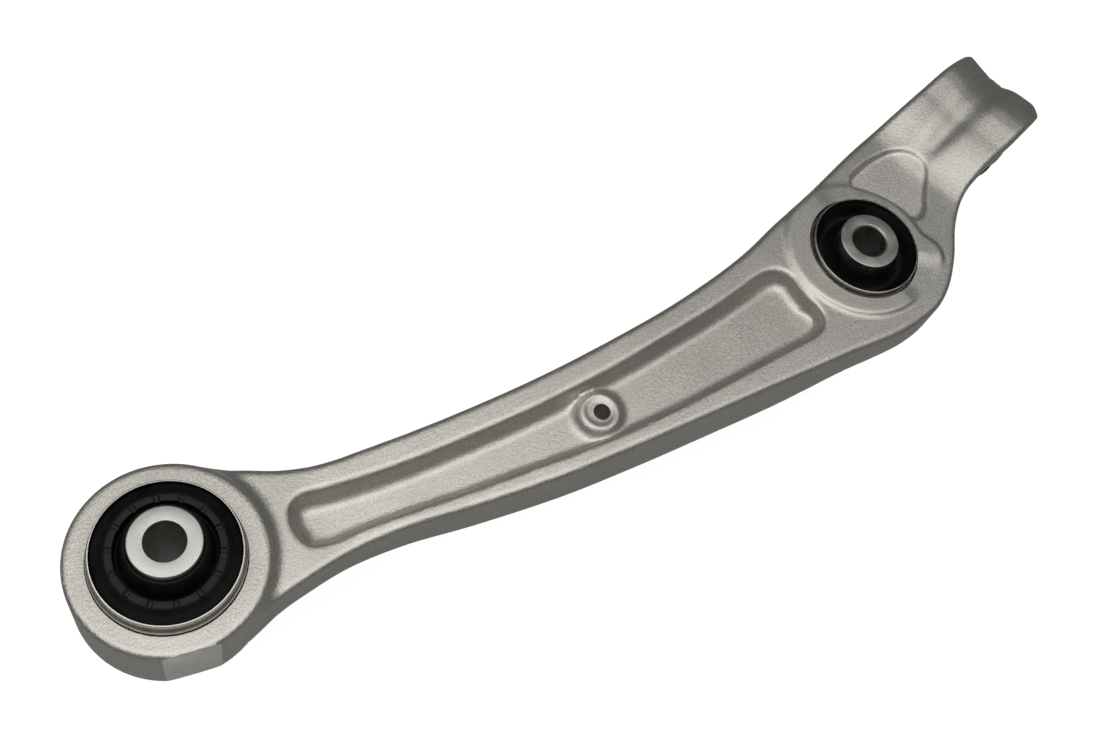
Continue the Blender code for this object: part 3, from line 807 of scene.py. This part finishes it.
def sleeve_profile(half, edge, mouth):
    """A bolt's sleeve with rounded outer edges and a chamfered bore."""
    return rounded_profile([
        (SLEEVE_RADIUS, half, edge), (SLEEVE_RADIUS, -half, edge), (SLEEVE_BORE + mouth, -half, 0.15),
        (SLEEVE_BORE, mouth - half, 0.15), (SLEEVE_BORE, half - mouth, 0.15),
        (SLEEVE_BORE + mouth, half, 0.15),
    ], 3)


def rim_profile(outside, bore):
    """A thin sleeve that steps in to a narrower rim at both ends."""
    rim = outside - 0.85
    upper = [
        (bore, RIM_HALF, 0.05), (rim, RIM_HALF, 0.3), (rim, RIM_HALF - 2.7, 0.2),
        (outside - 0.1, RIM_HALF - 3.5, 0.4), (outside, RIM_HALF - 4.2, 0.3),
    ]
    return rounded_profile(mirrored(upper), 4)


def mirrored(upper):
    """Profile from its upper half, from the bore's side to the outside."""
    return upper + [(r, -h, size) for r, h, size in reversed(upper)]


def pads(radius, height, turn):
    """Lower the ridge between the moulded pads at both ends of the rubber."""
    share = (turn * PAD_COUNT / (2 * math.pi)) % 1.0
    gap = 1.0 - fade(np.minimum(share, 1.0 - share), 0.06, 0.13)
    zone = between(radius, *PAD_RADII) * (np.abs(height) > 16.0)
    return radius, height - np.sign(height) * PAD_DEPTH * gap * zone


def make_bushes():
    """Sleeves and rubbers of both bushes."""
    profile = rim_profile(EYE_BORE - RIM_GAP, INNER_RIM_BORE)
    outer = turned("inner_bush_rim", profile, INNER_BUSH, ZINC)
    place_piece(outer, "inner_bush_outer_sleeve", "arm")
    profile = rounded_profile(mirrored([
        (11.0, 24.2, 0.4), (12.0, 23.9, 0.9), (12.9, 19.4, 1.0), (13.7, 15.0, 0.5), (14.7, 14.8, 0.4),
        (15.0, 18.5, 0.3), (17.3, 18.5, 0.8), (18.9, 17.0, 0.8), (21.3, 15.7, 0.3),
    ]))
    soft = turned("inner_bush_moulding", profile, INNER_BUSH, PAD_RUBBER, 420, pads, 50.0)
    place_piece(soft, "inner_bush_rubber", "arm")
    profile = sleeve_profile(INNER_SLEEVE_HALF, 0.4, 0.15)
    inner = turned("inner_bush_core", profile, INNER_BUSH, SLEEVE_STEEL)
    place_piece(inner, "inner_bush_inner_sleeve", "inner_pivot")

    profile = rim_profile(STRUT_BORE - RIM_GAP, STRUT_RIM_BORE)
    outer = turned("strut_bush_rim", profile, STRUT_BUSH, STRUT_ZINC)
    place_piece(outer, "strut_bush_outer_sleeve", "arm")
    profile = rounded_profile(mirrored([
        (11.0, 17.0, 0.3), (11.7, 16.0, 0.6), (12.8, 12.0, 2.0), (14.4, 9.9, 1.4), (16.2, 10.9, 1.4),
        (17.3, 13.4, 1.2), (18.5, 15.4, 0.3),
    ]))
    soft = turned("strut_bush_moulding", profile, STRUT_BUSH, RUBBER, 200, None, 50.0)
    place_piece(soft, "strut_bush_rubber", "arm")
    profile = sleeve_profile(STRUT_SLEEVE_HALF, 0.3, 0.6)
    inner = turned("strut_bush_core", profile, STRUT_BUSH, STRUT_SLEEVE_STEEL)
    place_piece(inner, "strut_bush_inner_sleeve", "strut_pivot")


# ---------------------------------------------------------------- ball joint
BALL_RADIUS = 10.5
NECK_RADIUS = 6.0
THREAD_RADIUS, THREAD_PITCH, THREAD_DEPTH = 6.0, 1.5, 0.8
THREAD_TOP, STUD_END = -45.2, -60.0
BEND_START, BEND_MIDDLE, BEND_END = -8.8, -14.0, -20.5   # heights along the boot; its two halves meet at the middle one


def arc(radius, start, end, steps):
    """Points on a circle round the ball's centre, by height angle in degrees."""
    angles = np.radians(np.linspace(start, end, steps + 1))
    return [(radius * math.cos(a), radius * math.sin(a)) for a in angles]


def thread(radius, height, turn):
    """Press a helical thread into the stud's end."""
    phase = (height / THREAD_PITCH - turn / (2 * math.pi)) % 1.0
    groove = THREAD_DEPTH * np.clip(1.15 - 2.3 * np.abs(2.0 * phase - 1.0), 0.0, 1.0)
    on = between(height, STUD_END + 0.6, STUD_END + 1.6, THREAD_TOP - 0.6, THREAD_TOP)
    return radius - groove * on * (radius > THREAD_RADIUS - 0.1), height


def make_stud():
    """Ball, neck, collar, taper and thread, with a hexagon socket in the end."""
    neck_angle = -math.degrees(math.acos(NECK_RADIUS / BALL_RADIUS))
    upper = rounded_profile([
        (NECK_RADIUS, -9.2, 0.0), (NECK_RADIUS, -15.0, 1.0), (6.8, -19.0, 1.5), (8.6, -22.3, 0.5),
        (8.6, -25.0, 0.3), (7.3, -41.0, 0.2), (5.1, -42.2, 0.4), (5.1, -44.2, 0.3),
        (THREAD_RADIUS, THREAD_TOP, 0.1), (THREAD_RADIUS, THREAD_TOP - 0.1, 0.0),
    ])
    rows = np.arange(THREAD_TOP - 0.2, STUD_END + 1.1, -0.17)
    profile = [(0.0, 9.87)] + arc(BALL_RADIUS, 70.0, neck_angle, 40) + upper
    profile += [(THREAD_RADIUS, h) for h in rows] + [(4.9, STUD_END), (0.0, STUD_END)]
    stud = turned("stud_steelwork", profile, BALL, STUD_STEEL, 96, thread)
    socket = [(0.0, STUD_END + 5.0), (3.5, STUD_END + 5.0), (3.5, STUD_END - 2.0), (0.0, STUD_END - 2.0)]
    cut(stud, [turned("hexagon_socket", socket, BALL, STUD_STEEL, 6)])
    place_piece(stud, "ball_stud", "stud")


def make_boot():
    """Bellows boot in two halves that meet at BEND_MIDDLE."""
    outer = [
        (18.4, -1.6, 0.4), (19.6, -2.2, 0.5), (19.6, -3.0, 0.3), (19.3, -3.4, 0.2), (19.3, -5.8, 0.2),
        (19.6, -6.2, 0.3), (19.6, -7.6, 0.8), (18.6, -9.0, 0.8), (19.7, -10.8, 1.0), (20.1, -12.6, 1.2),
    ]
    inner = [
        (18.2, -12.6, 1.0), (17.2, -10.0, 0.8), (16.7, -8.0, 0.4), (16.7, -7.3, 0.0), (17.9, -7.3, 0.0),
        (17.9, -1.6, 0.3),
    ]
    upper = rounded_profile(outer + [(19.6, BEND_MIDDLE, 0.0), (17.8, BEND_MIDDLE, 0.0)] + inner, 5)
    lower = rounded_profile([
        (19.6, BEND_MIDDLE, 0.0), (18.4, -16.0, 1.2), (15.9, -16.9, 0.6), (14.9, -18.2, 0.8),
        (12.4, -18.9, 0.8), (10.6, -19.8, 0.6), (10.2, -21.0, 0.2), (9.9, -21.3, 0.1),
        (9.9, -23.5, 0.1), (10.3, -23.8, 0.2), (10.2, -24.2, 0.2), (8.9, -24.2, 0.2), (8.9, -19.2, 0.6),
        (12.0, -17.6, 0.8), (14.2, -16.6, 0.8), (17.0, -15.4, 0.8), (17.8, BEND_MIDDLE, 0.0),
    ], 5)
    for name, profile, bodies, start, end in (
            ("boot_upper_half", upper, ("arm", "boot_middle"), BEND_START, BEND_MIDDLE),
            ("boot_lower_half", lower, ("boot_middle", "boot_neck"), BEND_MIDDLE, BEND_END)):
        half = turned(name, profile, BALL, BOOT_RUBBER, 128, None, 60.0)
        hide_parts("dust_boot")
        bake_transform(half)


def split_ring(radius, height, turn):
    """Two shallow grooves of a wound clamp ring."""
    groove = 0.16 * np.exp(-((np.abs(height - height.mean()) - 0.34) / 0.12) ** 2)
    return radius - groove * (radius > radius.max() - 0.1), height


def ring_profile(bore, wall, low, high):
    """A flat ring with rounded edges and rows fine enough for its grooves."""
    side = [(bore + wall, h, 0.0) for h in np.linspace(high - 0.25, low + 0.25, 13)]
    return rounded_profile([(bore, high, 0.1), (bore + wall, high, 0.2)] + side
                           + [(bore + wall, low, 0.2), (bore, low, 0.1)], 3)


def make_ball_joint():
    """Everything at the tip except the forging."""
    make_stud()
    seat = arc(10.8, -26.0, 60.0, 24) + rounded_profile([
        (5.6, 11.0, 0.1), (6.4, 11.0, 0.3), (9.8, 7.8, 0.8), (12.4, 3.4, 0.8), (12.4, -4.6, 0.3),
    ])
    place_piece(turned("seat_shell", seat, BALL, ACETAL, 128), "ball_seat", "arm")
    ring = rounded_profile([
        (14.0, -5.3, 0.1), (14.0, -6.7, 0.3), (11.6, -6.7, 0.3), (9.9, -6.2, 0.3), (9.9, -5.3, 0.1),
    ])
    closing = turned("closing_disc", ring, BALL, RING_STEEL, 128)
    place_piece(closing, "closing_ring", "arm")
    clamp = turned("clamp_band", ring_profile(19.7, 0.8, -5.6, -3.6), BALL, RING_STEEL, 160, split_ring)
    place_piece(clamp, "boot_clamp_ring", "arm")
    neck = turned("neck_band", ring_profile(10.2, 0.9, -23.4, -21.4), BALL, RING_STEEL, 112, split_ring)
    place_piece(neck, "boot_neck_ring", "boot_neck")
    make_boot()


make_forging()
make_bushes()
make_ball_joint()


# ---------------------------------------------------------------- floor, light, camera
FLOOR_GREY, FLOOR_GLOW = 0.40, 0.88
ROOM_LOW, ROOM_HIGH = 0.10, 0.15       # room at the horizon and overhead, as metal reflects it
ROOM_FOR_CAMERA = 0.93
# Places in millimetres from HOME, angles in degrees
LIGHT_PLACE = (-80.0, -70.0, 1100.0)
LIGHT_TURN = -26.0
LIGHT_SIZE, LIGHT_POWER = (1.9, 1.1), 10.5
CAMERA_PLACE = (-31.565, -128.398, 416.103)
CAMERA_AZIMUTH, CAMERA_ELEVATION, CAMERA_ROLL = -141.2082, 62.1819, 24.2418
CAMERA_LENS = 45.41


def make_floor():
    """Paper just under the pin's end; it glows for the camera only, so metal reflects it darker."""
    low = CAD_LOW.z - 0.002
    size = 4.0
    mesh = bpy.data.meshes.new("floor")
    mesh.from_pydata([(-size, -size, low), (size, -size, low), (size, size, low), (-size, size, low)],
                     [], [(0, 1, 2, 3)])
    floor = bpy.data.objects.new("floor", mesh)
    bpy.context.scene.collection.objects.link(floor)
    made = bpy.data.materials.new("floor_paper")
    made.use_nodes = True
    nodes, links = made.node_tree.nodes, made.node_tree.links
    shader = nodes["Principled BSDF"]
    shader.inputs["Base Color"].default_value = (FLOOR_GREY, FLOOR_GREY, FLOOR_GREY, 1.0)
    shader.inputs["Roughness"].default_value = 0.9
    shader.inputs["Specular IOR Level"].default_value = 0.0
    shader.inputs["Emission Color"].default_value = (1.0, 1.0, 1.0, 1.0)
    path = nodes.new("ShaderNodeLightPath")
    glow = nodes.new("ShaderNodeMath")
    glow.operation = "MULTIPLY"
    glow.inputs[1].default_value = FLOOR_GLOW
    links.new(path.outputs["Is Camera Ray"], glow.inputs[0])
    links.new(glow.outputs["Value"], shader.inputs["Emission Strength"])
    mesh.materials.append(made)


def make_world():
    """Room that is dim for reflections, a little brighter overhead, and pale for the camera."""
    world = bpy.data.worlds.new("studio")
    bpy.context.scene.world = world
    world.use_nodes = True
    nodes, links = world.node_tree.nodes, world.node_tree.links
    back = nodes["Background"]
    path = nodes.new("ShaderNodeLightPath")
    mix = nodes.new("ShaderNodeMix")
    mix.data_type = "RGBA"
    place = nodes.new("ShaderNodeTexCoord")
    axes = nodes.new("ShaderNodeSeparateXYZ")
    links.new(place.outputs["Generated"], axes.inputs["Vector"])
    rise = nodes.new("ShaderNodeMapRange")
    rise.interpolation_type = "SMOOTHSTEP"
    rise.inputs["From Min"].default_value = 0.05
    rise.inputs["From Max"].default_value = 0.75
    rise.inputs["To Min"].default_value = ROOM_LOW
    rise.inputs["To Max"].default_value = ROOM_HIGH
    links.new(axes.outputs["Z"], rise.inputs["Value"])
    links.new(rise.outputs["Result"], mix.inputs["A"])
    mix.inputs["B"].default_value = (ROOM_FOR_CAMERA, ROOM_FOR_CAMERA, ROOM_FOR_CAMERA, 1.0)
    links.new(path.outputs["Is Camera Ray"], mix.inputs["Factor"])
    links.new(mix.outputs["Result"], back.inputs["Color"])
    back.inputs["Strength"].default_value = 1.0


def make_light():
    """One soft rectangular light that points down, turned about the vertical."""
    light = bpy.data.lights.new("overhead", "AREA")
    light.shape = "RECTANGLE"
    light.size, light.size_y = LIGHT_SIZE
    light.energy = LIGHT_POWER
    light.color = (1.0, 0.99, 0.97)
    made = bpy.data.objects.new("overhead", light)
    made.location = (HOME + Vector(LIGHT_PLACE)) * MM
    made.rotation_euler.z = math.radians(LIGHT_TURN)
    bpy.context.scene.collection.objects.link(made)


def make_camera():
    """Camera at the photograph's viewing angle."""
    data = bpy.data.cameras.new("camera")
    data.lens = CAMERA_LENS
    data.sensor_width = 36.0
    data.clip_start, data.clip_end = 0.01, 20.0
    camera = bpy.data.objects.new("camera", data)
    place = Matrix.Translation((HOME + Vector(CAMERA_PLACE)) * MM)
    azimuth = Matrix.Rotation(math.radians(CAMERA_AZIMUTH + 90.0), 4, "Z")
    elevation = Matrix.Rotation(math.radians(90.0 - CAMERA_ELEVATION), 4, "X")
    roll = Matrix.Rotation(math.radians(CAMERA_ROLL), 4, "Z")
    camera.matrix_world = place @ azimuth @ elevation @ roll
    bpy.context.scene.collection.objects.link(camera)
    bpy.context.scene.camera = camera


make_floor()
make_world()
make_light()
make_camera()
bpy.context.scene.view_settings.view_transform = "Standard"
